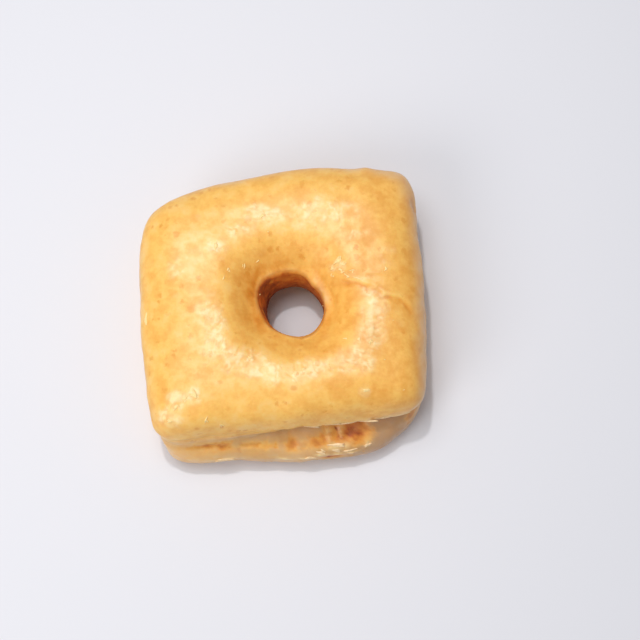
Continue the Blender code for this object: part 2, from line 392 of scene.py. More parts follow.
def holeRelief(skin, masks, look):
    z, turn, points, fromRim = skin["z"], skin["turn"], skin["points"], skin["reach"] - skin["rim"]
    inHole = (skin["arc"] == 5) | (skin["arc"] == 4)
    around = outwards(turn)
    uneven = np.clip(0.6 + cloudNoise(around * 3, 1, 3, 51), 0.1, 1.3)
    rimOnly = inHole * ease(16, 24, z) * ease(4, 0.5, fromRim)
    height = np.zeros(z.shape)
    for degrees, halfWidth, rise in look["swells"]:
        height += rise * rimOnly * bell(turnFrom(turn, degrees), math.radians(halfWidth))
    bead = bell(fromRim - 0.5, look["beadWidth"]) * inHole * ease(20, 24, z)
    height += look["bead"] * bead * uneven
    wall = inHole * ease(0.5, -0.4, fromRim) * ease(1, 5, z)
    streaks = cloudNoise(points * (0.35, 0.35, 1.5), 1.5, 3, 52)
    height += look["streak"] * wall * streaks
    height += look["ledge"] * wall * bell(z - look["ledgeHeight"] - 1.5 * around[..., 1], 0.8)
    left = ease(0.1, 0.9, -around[..., 0])
    nearRim = bell(turn - math.radians(285), 1) * ease(13, 19, z)
    # the wall's browning is partly painted shade; lower down and at the left it is painted shade
    fried = look["wallBrownAndShade"] + look["lowerWallShade"] * ease(24, 10, z)
    fried += look["leftWallShade"] * left + look["streakBrown"] * streaks
    masks["browningAndShade"] += wall * (1 - 0.8 * nearRim) * fried
    raiseMask(masks, "paleBand", 0.45 * bead * np.clip(uneven, 0, 1))
    degrees, halfWidth, out, rise = look["rolledEdge"]
    rolled = bell(turnFrom(turn, degrees), math.radians(halfWidth)) ** 1.5 * inHole
    rolled *= ease(18, 23, z)
    height += rise * rolled * (bell(fromRim - out, 0.8) - 0.7 * bell(fromRim - out - 1.7, 0.6))
    # the rolled edge's pale colour is partly painted highlight
    cloudy = np.clip(0.75 + 0.7 * cloudNoise(points, 2.4, 2, 50), 0, 1)
    paler = rolled * bell(fromRim - out + 0.2, 1.1) * cloudy
    raiseMask(masks, "paleBand", 0.85 * paler)
    raiseMask(masks, "sugarAndHighlight", 0.7 * paler ** 2)
    # brown wrinkles that run into the hole from the left
    leftRim = bell(fromRim - 1.5, 3.5) * inHole * ease(0.3, 0.9, -around[..., 0] + 0.3 * around[..., 1])
    wrinkles = cloudNoise(np.stack([fromRim * 0.45, around[..., 1] * 9, z * 0.2], axis=-1), 1.6, 2, 49)
    masks["browningAndShade"] += leftRim * (0.05 + 0.12 * wrinkles)
    height += look["wrinkle"] * leftRim * wrinkles
    masks["sugarAndHighlight"] *= 1 - wall
    raiseMask(masks, "dry", wall)
    return height


# the outer wall: the lip, the stretched pale band between the domes, and glaze set along the foot

wallLook = {
    "lip": 0.8, "rough": 0.28, "footWander": 0.5,
    # at the near left corner the two domes run into one another
    "cornerTurn": 232, "cornerWidths": (15, 27), "bridgeTop": 20, "bridgeFoot": 9,
    # what the corner moves outward: turn, half width in degrees, height, half height, move
    "cornerMoves": (
        (220, 5.5, 21, 8, -1.3), (222, 9, 8, 6, -1.9), (234.5, 6, 7, 6.5, 0.9), (252, 11, 7, 6, -0.9),
    ),
    # the recess under the lip of the near side lies lowest at x = 0 and rises to both corners
    "recessHeight": 13, "recessCurve": 0.0028, "recess": 0.45, "recessWidth": 1.2, "shelfRise": 0.3,
    # the pale hem of the lip, and the slot under it
    "hemRise": 0.45, "slot": 0.4,
    # how high the pale band goes: everywhere, more at the right, more at the far side, less at the near side
    "bandTops": (23, 6.5, 4, 6.5),
    # how much painted shade darkens the near side: at its left end, what its middle adds, and what its right
    # half adds
    "paintedShadeShares": (0.15, 0.35, 0.5),
    # caramel pits of the near side: x, z, half width, half height, depth, how brown
    "pits": (
        (20, 14.5, 3.2, 1.8, 0.6, 0.22), (22.6, 13.3, 2.8, 1.6, 0.5, 0.16), (17.2, 13.4, 2.6, 1.3, 0.4, 0.24),
        (13.2, 14, 3.2, 1.2, 0.3, 0.1), (-26.6, 14.9, 2.6, 0.9, 0.3, 0.2),
        (-22.6, 14.2, 2.2, 1.1, 0.35, 0.26), (-31.4, 14.8, 3.6, 0.6, 0.2, 0.14),
        (-14.6, 13.6, 3.2, 0.8, 0.25, 0.16), (-9, 13, 2.6, 0.7, 0.2, 0.1), (-0.5, 12.8, 1.7, 1.1, 0.35, 0.22),
        (8.2, 13.2, 3.4, 0.9, 0.3, 0.2), (14, 8.7, 3, 0.7, 0.3, 0.32), (9.6, 8.9, 2, 0.5, 0.2, 0.24),
        (38.5, 12.5, 2, 2, 0.4, 0.24),
    ),
    # where glaze ran over the near side and whitened it, thinner where narrow: x, z, half width, half height
    "films": (
        (14.6, 11.9, 3.6, 0.7), (24.2, 11.2, 1.2, 0.8), (11.4, 13.9, 0.7, 1), (15.4, 13.8, 0.5, 1),
        (9, 10.4, 2.2, 0.6), (18.6, 10, 3, 0.5), (14.6, 10, 1.6, 0.5), (-22, 9.4, 4.6, 1),
        (5, 9.4, 3, 0.6), (-2.2, 9, 2.4, 0.6), (-33, 10.4, 1.6, 0.6),
    ),
    "filmRise": 0.22, "footBead": 0.4,
}


def cornerShare(turn):
    # how far a column belongs to the near left corner, 0 to 1
    offset = np.degrees(turn) - wallLook["cornerTurn"]
    before, after = wallLook["cornerWidths"]
    return bell(offset, np.where(offset < 0, before, after))


def bridgeCorner(points, turn, along, facts):
    # At the near left corner the upper dome runs down to the lower one in a straight slope: a point under the
    # widest line moves out to the line from there to the lower dome. Then the corner's own moves are added.
    top, foot = wallLook["bridgeTop"], wallLook["bridgeFoot"]
    z, arc = points[..., 2], facts["arc"]
    footRow = np.argmax(np.where((arc == 2) & (z <= foot), z, 0), axis=1)[:, None]
    footReach = np.take_along_axis(facts["reach"], footRow, axis=1)
    down = np.clip((top - z) / (top - foot), 0, 1)
    line = facts["upper"] + (footReach - facts["upper"]) * down
    bridged = (z < top) & (z > foot) & (arc > 0) & (arc < 3)
    outward = cornerShare(turn) * np.maximum(line - facts["reach"], 0) * bridged
    for middle, width, height, halfHeight, move in wallLook["cornerMoves"]:
        moved = move * bell(np.degrees(turn) - middle, width) * bell(z - height, halfHeight)
        outward = outward + moved * ease(0.3, 0.7, along) * (along < 3.4)
    return points + outward[..., None] * outwards(turn)


def spotMask(skin, x, z, halfWidth, halfHeight, ragged, power):
    # 1 in the middle of a spot of the near side, falling to 0 past its ragged edge
    away = ((skin["x"] - x) / halfWidth) ** 2 + ((skin["z"] - z) / halfHeight) ** 2
    return np.exp(-np.maximum(away * ragged, 0) ** power) * skin["near"]


def wallRelief(skin, masks, look):
    x, z, along, outside = skin["x"], skin["z"], skin["along"], skin["outside"]
    points, near = skin["points"], skin["near"]
    side = outside * ease(26.5, 22.5, z) * ease(4, 8, z)
    stretched = cloudNoise(points * (1, 1, 1.8), 4.6, 4, 53)
    height = look["rough"] * side * stretched
    height += look["footWander"] * outside * bell(z - 6, 5) * cloudNoise(points, 11, 3, 59)
    lipLine = bell(along - 1, 0.2) * near
    height += look["lip"] * lipLine * (1 + 0.3 * hillNoise(points, 3, 54))
    corner = cornerShare(skin["turn"]) * outside

    # the pale band, with cloudy edges, and higher up at the right side
    rightwards = ease(0.3, 0.9, np.cos(skin["turn"]))
    farwards = ease(0.5, 0.9, np.sin(skin["turn"]))
    middle, right, far, nearer = look["bandTops"]
    bandTop = middle + right * rightwards + far * farwards - nearer * near
    upperEdge = ease(bandTop + 3, bandTop - 2, z + 2 * cloudNoise(points, 6, 3, 71))
    lowerEdge = ease(7, 13, z + 2.4 * cloudNoise(points, 7, 3, 72))
    band = outside * upperEdge * lowerEdge * (1 - 0.6 * near) * (1 - 0.7 * corner)
    raiseMask(masks, "paleBand", band)

    # the near side: a pale shelf under the lip, then the recess, then the golden lower dome
    fromRecess = z - look["recessHeight"] - look["recessCurve"] * np.minimum(x ** 2, 900)
    shelf = near * (skin["arc"] == 2) * (1 - 0.6 * corner)
    height += look["shelfRise"] * shelf * bell(fromRecess - 1.9, 0.8)
    height -= look["recess"] * shelf * bell(fromRecess, look["recessWidth"]) * (0.7 + 0.8 * stretched)
    blotches = ease(0, 0.7, cloudNoise(points * (0.5, 0.5, 1.3), 2.2, 3, 75))
    masks["browningAndShade"] += shelf * (bell(fromRecess, 1.4) * (0.05 + 0.16 * blotches) + 0.08 * stretched)
    offFoot = ease(2, 6, z)
    # painted shade: the near side under the lip is darkened, least at its left end; the pits and glaze films
    # take some of it back
    left, middle, right = look["paintedShadeShares"]
    paintedShadeHere = left + middle * ease(-34, -14, x) + right * ease(0, 22, x)
    raiseMask(masks, "paintedShade", paintedShadeHere * near * ease(1.45, 1.7, along) * offFoot)
    pale = np.maximum(0.85 * ease(0.6, 1.4, fromRecess), 0.9 * ease(15, 26, x))
    pale = np.maximum(pale, 0.55 + 0.3 * stretched)
    raiseMask(masks, "paleBand", near * ease(1.3, 1.6, along) * offFoot * pale)
    # the lip's pale hem and the slot under it, right of the middle
    hem = near * ease(2, 9, x) * bell(along - 1.12, 0.12)
    raiseMask(masks, "sugarAndHighlight", hem)
    height += look["hemRise"] * hem * (1 + 0.5 * stretched)
    height -= look["slot"] * near * ease(2, 9, x) * bell(along - 1.62, 0.14)

    ragged = 1 + 1.4 * cloudNoise(points, 2, 3, 55)
    for pitX, pitZ, halfWidth, halfHeight, depth, brown in look["pits"]:
        pit = spotMask(skin, pitX, pitZ, halfWidth, halfHeight, ragged, 0.9)
        height -= depth * pit
        masks["browningAndShade"] += brown * ease(0, 0.9, pit)
        masks["paintedShade"] *= 1 - 0.75 * ease(0, 0.5, pit)
        masks["paleBand"] *= 1 - 0.9 * ease(0, 0.6, pit)
        masks["gloss"] *= 1 - 0.6 * ease(0, 0.8, pit)
    ragged = 1 + 0.7 * cloudNoise(points, 1.6, 2, 58)
    for filmX, filmZ, halfWidth, halfHeight in look["films"]:
        film = spotMask(skin, filmX, filmZ, halfWidth, halfHeight, ragged, 1.2)
        raiseMask(masks, "sugarAndHighlight", film * min(1, 0.7 * halfWidth))
        masks["paintedShade"] *= 1 - 0.4 * film
        height += look["filmRise"] * film

    # glaze that ran down and set along the bottom edge all round
    edge = bell(z - 3.4, 1.8) * outside
    beads = np.clip(0.3 + 1.3 * cloudNoise(points * (1, 1, 0.5), 5, 3, 57), 0, 1.3)
    height += look["footBead"] * edge * beads
    raiseMask(masks, "sugarAndHighlight", 0.7 * edge * ease(0.3, 1.1, beads))
    return height


# what frying did to the whole crust, with painted shade at the dimple's left and on the right side

fryAndShadeLook = {
    # how brown: everywhere and its waver, the dimple, its left (painted shade), the right side (painted
    # shade), the underside
    "even": 0.36, "waver": 0.05, "dimple": 0.03, "dimpleLeftShade": 0.12, "right": 0.07, "underside": 0.20,
    "gloss": 0.10, "sideGloss": 0.40,
}


def crustRelief(points, turn, along, facts):
    # All the small relief on the dough, and the masks for its colours
    z, arc = points[..., 2], facts["arc"]
    outside = ease(0.35, 0.7, along) * ease(3.95, 3.7, along)
    skin = {
        "points": points, "x": points[..., 0], "y": points[..., 1], "z": z, "turn": turn, "along": along,
        "arc": arc, "reach": facts["reach"], "rim": facts["rim"], "outside": outside,
        "onTop": ((arc == 0) | (arc == 5)) * ease(20.5, 23.5, z),
        "aboveFoot": ease(0.5, 4, z),
        "near": ease(0.45, 0.75, -np.sin(turn)) * outside,
        "warped": points + 1.5 * np.stack([hillNoise(points, 4.5, 60 + i) for i in range(3)], axis=-1),
    }
    fromRim = np.maximum(facts["reach"] - facts["rim"], 0)
    browningAndShade = fryAndShadeLook["even"] + fryAndShadeLook["waver"] * cloudNoise(skin["warped"], 10, 3, 70)
    # painted shade: the dimple is made browner at its upper left
    leftward = bell(turn - math.radians(165), 0.85)
    dimple = bell(fromRim, 6.5) * skin["onTop"] * (fryAndShadeLook["dimple"] + fryAndShadeLook["dimpleLeftShade"] * leftward)
    browningAndShade += dimple * (1 + 0.6 * cloudNoise(skin["warped"], 3, 2, 73))
    # painted shade: the right side is made browner
    browningAndShade += fryAndShadeLook["right"] * ease(0.2, 0.9, np.cos(turn)) * skin["aboveFoot"]
    # the underside fried longest
    browningAndShade += fryAndShadeLook["underside"] * ease(5, 0.3, z) * (1 + 0.9 * cloudNoise(points, 9, 4, 74))
    masks = {"browningAndShade": browningAndShade, "gloss": np.full(z.shape, fryAndShadeLook["gloss"])}
    for name in ("paleBand", "sugarAndHighlight", "dry", "paintedShade"):
        masks[name] = np.zeros(z.shape)
    height = topRelief(skin, masks, topLook) + wallRelief(skin, masks, wallLook)
    height += holeRelief(skin, masks, holeLook)
    masks["gloss"] += fryAndShadeLook["sideGloss"] * skin["outside"] * (1 - skin["onTop"])
    masks["gloss"] *= 1 - masks["dry"]
    return height, {name: np.clip(mask, 0, 1) for name, mask in masks.items()}


def keepInside(values, low, high, softness):
    # Presses a value back from a limit that it comes near: a distance d under the softness s becomes
    # s * exp(d / s - 1)
    def press(distance):
        eased = softness * np.exp(np.minimum(distance / softness, 1) - 1)
        return np.where(distance < softness, eased, distance)
    values = high - press(high - values)
    return low + press(values - low)


def smoothMesh(name, points, faces):
    mesh = bpy.data.meshes.new(name)
    mesh.from_pydata((points * mm).tolist(), [], faces)
    mesh.shade_smooth()
    mesh.update()
    return mesh


def meshFromGrid(name, points, attributes):
    # A closed grid as a mesh: the faces join each vertex to its neighbours along and around, past both ends
    columns, rows = points.shape[:2]
    index = np.arange(columns * rows).reshape(columns, rows)
    beside = np.roll(index, -1, axis=0)
    faces = np.stack([index, np.roll(index, -1, axis=1), np.roll(beside, -1, axis=1), beside], axis=-1)
    mesh = smoothMesh(name, points.reshape(-1, 3), faces.reshape(-1, 4).tolist())
    for key, values in attributes.items():
        layer = mesh.attributes.new(key, "FLOAT", "POINT")
        layer.data.foreach_set("value", values.reshape(-1).astype(np.float32))
    return mesh


def addObject(name, data):
    made = bpy.data.objects.new(name, data)
    bpy.context.scene.collection.objects.link(made)
    return made


def place(name, mesh, material):
    piece = addObject(name, mesh)
    mesh.materials.append(material)
    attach(piece, "root")
    return piece


def makeCrust():
    along = evenRows(dough["rows"])[None, :] + np.zeros((dough["columns"], 1))
    turn = np.linspace(0, 2 * math.pi, dough["columns"], endpoint=False)[:, None]
    turn = turn + 0.06 * np.sin(4 * turn) + np.zeros_like(along)
    points, facts = doughSurface(turn, along)
    points = points + gridNormals(points) * lumpHeights(points)[..., None]
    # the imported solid's box is centred on the Z axis
    bare = points.reshape(-1, 3)
    shift = -(bare.min(axis=0) + bare.max(axis=0)) / 2
    print("dough laid out, hole axis at", np.round(shift[:2], 2), "mm")
    points = bridgeCorner(points, turn, along, facts)
    height, masks = crustRelief(points, turn, along, facts)
    points = points + gridNormals(points) * height[..., None]
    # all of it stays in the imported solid's box
    low, high = [np.array(corner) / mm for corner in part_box("doughnut")]
    limit = dough["softLimit"]
    for axis in (0, 1):
        points[..., axis] = keepInside(points[..., axis] + shift[axis], low[axis], high[axis], limit)
    points[..., 2] = keepInside(points[..., 2], -9, high[2], limit)
    points[..., 2] = np.maximum(points[..., 2], low[2])
    return points, masks, shift


# shader building blocks

def newMaterial(name):
    material = bpy.data.materials.new(name)
    material.use_nodes = True
    return material, material.node_tree, material.node_tree.nodes["Principled BSDF"]


def node(tree, kind, feeds, **settings):
    # feeds gives sockets their values: numbers, tuples or outputs of other nodes
    made = tree.nodes.new("ShaderNode" + kind)
    for key, value in settings.items():
        setattr(made, key, value)
    for key, value in feeds.items():
        if isinstance(value, bpy.types.NodeSocket):
            tree.links.new(value, made.inputs[key])
        else:
            made.inputs[key].default_value = value
    return made


def mathNode(tree, operation, *values):
    return node(tree, "Math", dict(enumerate(values)), operation=operation).outputs[0]


def vectorNode(tree, operation, *values):
    return node(tree, "VectorMath", dict(enumerate(values)), operation=operation)


def noiseNode(tree, vector, scale, detail=3, roughness=0.5, output="Fac"):
    feeds = {"Vector": vector, "Scale": scale, "Detail": detail, "Roughness": roughness}
    return node(tree, "TexNoise", feeds).outputs[output]


def movedByNoise(tree, vector, scale, detail, roughness, reach):
    # the place, shifted by noise of up to reach metres
    shift = vectorNode(tree, "SCALE", noiseNode(tree, vector, scale, detail, roughness, "Color"))
    shift.inputs["Scale"].default_value = reach
    return vectorNode(tree, "ADD", vector, shift.outputs[0]).outputs[0]


def rangeNode(tree, value, low, high, toLow=0, toHigh=1):
    feeds = {"Value": value, "From Min": low, "From Max": high, "To Min": toLow, "To Max": toHigh}
    return node(tree, "MapRange", feeds, interpolation_type="SMOOTHSTEP").outputs["Result"]


def mixColour(tree, share, first, second, blend="MIX"):
    # the colour sockets of this node are its inputs 6 and 7 and its output 2
    feeds = {0: share}
    for key, colour in ((6, first), (7, second)):
        feeds[key] = (*colour, 1) if isinstance(colour, tuple) else colour
    return node(tree, "Mix", feeds, data_type="RGBA", blend_type=blend).outputs[2]


def cellNode(tree, vector, scale):
    return node(tree, "TexVoronoi", {"Vector": vector, "Scale": scale})


def bumpInto(tree, shader, height, distance, strength):
    bump = node(tree, "Bump", {"Distance": distance, "Strength": strength, "Height": height})
    tree.links.new(bump.outputs[0], shader.inputs["Normal"])


def linear(red, green, blue):
    # a colour as seen on screen, 0 to 255, as the linear light that shaders use
    shown = [c / 255 for c in (red, green, blue)]
    return tuple(((c + 0.055) / 1.055) ** 2.4 if c > 0.04 else c / 12.92 for c in shown)


def newGroup(name, numbers, output):
    # a node group that takes a place and some numbers, and gives one number
    tree = bpy.data.node_groups.new(name, "ShaderNodeTree")
    tree.interface.new_socket("Vector", in_out="INPUT", socket_type="NodeSocketVector")
    for key in numbers:
        tree.interface.new_socket(key, in_out="INPUT", socket_type="NodeSocketFloat")
    tree.interface.new_socket(output, in_out="OUTPUT", socket_type="NodeSocketFloat")
    return tree, tree.nodes.new("NodeGroupInput"), tree.nodes.new("NodeGroupOutput")


def groupNode(tree, group, vector, *numbers):
    made = node(tree, "Group", {}, node_tree=group)
    for socket, number in zip(made.inputs[1:], numbers):
        socket.default_value = number
    tree.links.new(vector, made.inputs[0])
    return made.outputs[0]


def frySpeckleGroup():
    # Browned blisters of the fryer: round spots in jittered cells, each with its own size, ragged by noise
    tree, given, result = newGroup("frySpeckles", ("Spots per metre", "Largest"), "Mask")
    moved = movedByNoise(tree, given.outputs["Vector"], 620, 4, 0.65, 0.0030)
    cells = cellNode(tree, moved, given.outputs["Spots per metre"])
    parts = node(tree, "SeparateColor", {0: cells.outputs["Color"]})
    size = mathNode(tree, "POWER", parts.outputs[0], 2)
    size = mathNode(tree, "MULTIPLY", size, given.outputs["Largest"])
    soft = rangeNode(tree, mathNode(tree, "SUBTRACT", size, cells.outputs["Distance"]), -0.10, 0.26)
    tree.links.new(mathNode(tree, "MULTIPLY", soft, parts.outputs[1]), result.inputs["Mask"])
    return tree


def glazePlateGroup():
    # Dried glaze: small plates that each lie at their own tilt. Height is in metres.
    tree, given, result = newGroup("glazePlates", ("Plates per metre", "Tilt"), "Height")
    moved = movedByNoise(tree, given.outputs["Vector"], 420, 3, 0.5, 0.0022)
    cells = cellNode(tree, moved, given.outputs["Plates per metre"])
    away = vectorNode(tree, "SUBTRACT", moved, cells.outputs["Position"])
    own = vectorNode(tree, "SUBTRACT", cells.outputs["Color"], (0.5, 0.5, 0.5))
    lean = vectorNode(tree, "DOT_PRODUCT", away.outputs[0], own.outputs[0]).outputs["Value"]
    tree.links.new(mathNode(tree, "MULTIPLY", lean, given.outputs["Tilt"]), result.inputs["Height"])
    return tree


crustLook = {
    # colours as they look on screen, and the value of browning and painted shade at which each is reached
    "palest": linear(252, 216, 150), "golden": linear(249, 193, 97), "orange": linear(229, 152, 52),
    "brown": linear(188, 94, 12), "dark": linear(110, 40, 0),
    "stops": ((0.12, "palest"), (0.36, "golden"), (0.58, "orange"), (0.80, "brown"), (1.0, "dark")),
    # the sugar colour is the cream of dried glaze and of the painted highlight
    "band": linear(231, 185, 134), "speckle": linear(226, 150, 50), "sugarAndHighlight": linear(255, 230, 173),
    # what the painted shade of the near side multiplies the colour by
    "paintedShade": (0.63, 0.61, 0.72),
    # how many a metre, and how large or how tilted
    "smallSpeckles": (400, 0.52), "largeSpeckles": (150, 0.31), "dents": (480, 0.62), "plates": (300, 0.035),
    # relief in millimetres
    "fine": 0.03, "soft": 0.10, "cell": 0.10, "dent": -0.12, "spot": -0.03,
    "roughness": 0.46, "dryRoughness": 0.45,
    "sockets": {"Coat Roughness": 0.30, "Coat IOR": 1.45, "Subsurface Weight": 0.18, "Subsurface Scale": 1.0,
                "Subsurface Radius": (0.0032, 0.0016, 0.0007)},
}


def crustMaterial(speckles, plates, look):
    material, tree, shader = newMaterial("glazedCrust")
    where = node(tree, "TexCoord", {}).outputs["Object"]
    masks = {}
    for name in ("browningAndShade", "paleBand", "sugarAndHighlight", "gloss", "dry", "paintedShade"):
        masks[name] = node(tree, "Attribute", {}, attribute_name=name).outputs["Fac"]

    def times(first, second):
        return mathNode(tree, "MULTIPLY", first, second)

    # colour: browning and painted shade run through a ramp, with cloudy mottling and speckles on top
    cloud = noiseNode(tree, where, 230, 4, 0.55)
    grain = noiseNode(tree, where, 900, 2, 0.6)
    mottled = mathNode(tree, "ADD", masks["browningAndShade"], rangeNode(tree, cloud, 0.3, 0.7, -0.055, 0.085))
    mottled = mathNode(tree, "ADD", mottled, rangeNode(tree, grain, 0.3, 0.7, -0.015, 0.015))
    ramp = node(tree, "ValToRGB", {0: mottled})
    for i, (position, name) in enumerate(look["stops"]):
        stop = ramp.color_ramp.elements[i] if i < 2 else ramp.color_ramp.elements.new(position)
        stop.position = position
        stop.color = (*look[name], 1)
    small = groupNode(tree, speckles, where, *look["smallSpeckles"])
    large = groupNode(tree, speckles, where, *look["largeSpeckles"])
    spots = mathNode(tree, "MAXIMUM", small, large)
    colour = mixColour(tree, times(spots, 0.75), ramp.outputs[0], look["speckle"])
    bandShare = times(masks["paleBand"], rangeNode(tree, cloud, 0.25, 0.6, 1, 0.6))
    colour = mixColour(tree, bandShare, colour, look["band"])
    # painted shade of the near side, multiplied into the colour
    colour = mixColour(tree, masks["paintedShade"], colour, look["paintedShade"], "MULTIPLY")

    # dried sugar, partly painted highlight: pale cells a few millimetres wide, with small dents between them
    cells = rangeNode(tree, noiseNode(tree, where, 240, 2, 0.55), 0.42, 0.60)
    dents = groupNode(tree, speckles, where, *look["dents"])
    # the cream share is the glaze's whitening and, on the crest ring and the near left corner, a painted
    # highlight
    share = times(masks["sugarAndHighlight"], mathNode(tree, "MULTIPLY_ADD", cells, 0.50, 0.30))
    colour = mixColour(tree, share, colour, look["sugarAndHighlight"])
    dentsHere = times(dents, mathNode(tree, "MULTIPLY_ADD", masks["sugarAndHighlight"], 0.45, 0.06))
    colour = mixColour(tree, dentsHere, colour, look["speckle"])
    tree.links.new(colour, shader.inputs["Base Color"])

    # relief: dough grain everywhere, plates, cells and dents where the sugar dried and the highlight is
    # painted
    height = times(groupNode(tree, plates, where, *look["plates"]), masks["sugarAndHighlight"])
    layers = {
        "fine": noiseNode(tree, where, 1300, 3, 0.6), "soft": noiseNode(tree, where, 420, 3, 0.5),
        "cell": times(cells, masks["sugarAndHighlight"]), "dent": dentsHere, "spot": spots,
    }
    for name, layer in layers.items():
        height = mathNode(tree, "MULTIPLY_ADD", layer, look[name] * mm, height)
    bumpInto(tree, shader, height, 1, 0.8)

    rough = rangeNode(tree, cloud, 0.3, 0.7, look["roughness"] - 0.06, look["roughness"] + 0.08)
    rough = mathNode(tree, "ADD", rough, times(masks["dry"], look["dryRoughness"]))
    tree.links.new(rough, shader.inputs["Roughness"])
    tree.links.new(masks["gloss"], shader.inputs["Coat Weight"])
    for key, value in look["sockets"].items():
        shader.inputs[key].default_value = value
    return material


# chips and beads of glaze that lie on the crust: each is a small closed lens, set a little into it

chipLook = {
    # x, y, z, heading in degrees, length, width, height
    "chips": (
        (14.1, 12.7, 31.5, 44, 3.6, 1.1, 0.34), (12.6, 10.4, 30.2, 15, 1.8, 0.6, 0.24),
        (15.6, 9.8, 31.2, -20, 2.4, 0.7, 0.26), (17.4, 7.9, 31.4, -35, 2, 0.6, 0.24),
        (12.2, 8.7, 28.8, 70, 1.3, 0.5, 0.2), (18.9, 9.6, 31.8, 10, 1.6, 0.5, 0.2),
        (20.6, 7, 31.9, -15, 2.2, 0.5, 0.22), (16.6, 11.6, 31.6, 30, 1.5, 0.6, 0.22),
        (-15.6, 11.6, 29.2, 80, 1.6, 0.5, 0.22), (-11.4, 13.6, 28, 20, 1.2, 0.5, 0.2),
        (-20.6, 10, 31.8, 60, 1.3, 0.5, 0.2), (-22.2, 7.2, 32, 70, 1.4, 0.45, 0.2),
        (-30.2, -30.2, 32.9, -62, 2.8, 1, 0.3), (-33.2, -31.4, 32.5, 20, 2, 0.9, 0.26),
        (-36.3, -34.4, 31.7, 45, 2.4, 1, 0.26), (-38.2, -38, 29.4, 30, 2.2, 0.9, 0.26),
        (-27, -37.8, 30.5, 72, 2.1, 0.6, 0.28), (-22.5, -39.3, 27.9, 112, 1.9, 0.45, 0.24),
        (23.3, -28.7, 31.6, 12, 2.4, 0.8, 0.24), (-9.8, 27.4, 32.4, 20, 1.6, 0.9, 0.2),
        (-24.4, 17.2, 32.9, 100, 2.2, 1.2, 0.24), (-47, -5, 27.6, 84, 3.2, 1.3, 0.3),
        (29.5, 9.8, 32.6, 35, 1.5, 0.5, 0.2), (-13.4, -18.6, 32.6, -30, 1.5, 0.6, 0.2),
        (3.5, -22, 32.4, 15, 1.8, 0.5, 0.2), (24.5, -14, 33, 60, 1.6, 0.6, 0.2),
    ),
    "beads": (
        (14.6, -44.2, 12.2, 4, 5.4, 1.3, 0.3), (24.2, -43.6, 11.2, 30, 2.2, 1.2, 0.3),
        (9, -46, 10.8, -14, 3, 1, 0.28), (18.4, -45.4, 10.3, 12, 4.2, 0.8, 0.28),
        (-22.6, -48.6, 9.4, -4, 5.6, 1.6, 0.3), (5.6, -47.2, 9.6, 3, 4, 0.9, 0.26),
    ),
    # the broken bead along the hem of the near lip
    "hem": (
        (6, -38.8, 19.4, 2, 5, 0.7, 0.3), (11.6, -38.4, 19.3, 6, 6.4, 0.8, 0.34),
        (17.6, -37.8, 19.4, 1, 6, 0.7, 0.32), (23.6, -37.2, 19.3, 8, 7, 0.9, 0.36),
        (29.6, -36.6, 19.5, 3, 6.4, 0.8, 0.34), (35.2, -35.4, 19.4, 7, 5.6, 0.7, 0.32),
    ),
    # small crumbs anywhere above the foot
    "crumbs": 16, "crumbSeed": 12, "crumbLength": (0.5, 1.4),
    # random seeds of the companions and of the lenses' shapes
    "chipSeeds": (21, 5), "beadSeeds": (22, 6), "around": 20, "rows": 7,
    "colour": linear(255, 222, 150), "beadColour": linear(244, 210, 160),
}


def lensMesh(name, spots, crust, normals, seed):
    # Every spot becomes a lens on the crust: with an angle p from its top to its bottom and an angle t round
    # it, a point lies sin(p)^0.8 * (cos t, sin t) out, times half the length and half the width, and
    # height * cos(p) up. Its edge wobbles, and its top has a lump or two.
    rng = np.random.default_rng(seed)
    flat, flatNormals = crust.reshape(-1, 3), normals.reshape(-1, 3)
    nearest = np.array([np.argmin(np.sum((flat - spot[:3]) ** 2, axis=1)) for spot in spots])
    centre, up = flat[nearest], flatNormals[nearest]
    # headings run from X, or from Y where the crust faces X
    base = np.where(np.abs(up[:, :1]) < 0.8, (1.0, 0, 0), (0, 1.0, 0))
    ahead = base - np.sum(base * up, axis=1, keepdims=True) * up
    ahead /= np.linalg.norm(ahead, axis=1, keepdims=True)
    across = np.cross(up, ahead)
    heading = np.radians(spots[:, 3:4])
    ahead, across = (ahead * np.cos(heading) + across * np.sin(heading),
                     across * np.cos(heading) - ahead * np.sin(heading))
    rows, around = chipLook["rows"], chipLook["around"]
    polar = (np.arange(1, rows + 1) / (rows + 1) * math.pi)[None, :, None]
    turn = (np.arange(around) / around * 2 * math.pi)[None, None, :]
    phases = rng.uniform(0, 2 * math.pi, size=(4, len(spots), 1, 1))
    wobble = 1 + 0.20 * np.sin(2 * turn + phases[0])
    wobble = wobble + 0.22 * np.sin(3 * turn + phases[1]) + 0.14 * np.sin(5 * turn + phases[2])
    out = np.sin(polar) ** 0.8
    length, width, height = [spots[:, i][:, None, None] for i in (4, 5, 6)]
    lump = 1 + 0.35 * out * np.sin(2 * turn + phases[3])
    offsets = ((length / 2 * out * wobble * np.cos(turn))[..., None] * ahead[:, None, None]
               + (width / 2 * out * wobble * np.sin(turn))[..., None] * across[:, None, None]
               + (height * np.cos(polar) * lump * np.ones_like(turn))[..., None] * up[:, None, None])
    rings = centre[:, None, None] + offsets
    poles = np.stack([centre + up * height[:, 0], centre - up * height[:, 0]], axis=1)
    count = rows * around
    vertices = np.concatenate([rings.reshape(len(spots), count, 3), poles], axis=1).reshape(-1, 3)
    grid = np.arange(count).reshape(rows, around)
    beside = np.roll(grid, -1, axis=1)
    quads = np.stack([grid[:-1], grid[1:], beside[1:], beside[:-1]], axis=-1).reshape(-1, 4)
    topFan = np.stack([np.full(around, count), grid[0], beside[0]], axis=-1)
    bottomFan = np.stack([np.full(around, count + 1), beside[-1], grid[-1]], axis=-1)
    faces = []
    for i in range(len(spots)):
        start = i * (count + 2)
        faces += (quads + start).tolist() + (topFan + start).tolist() + (bottomFan + start).tolist()
    return smoothMesh(name, vertices, faces)


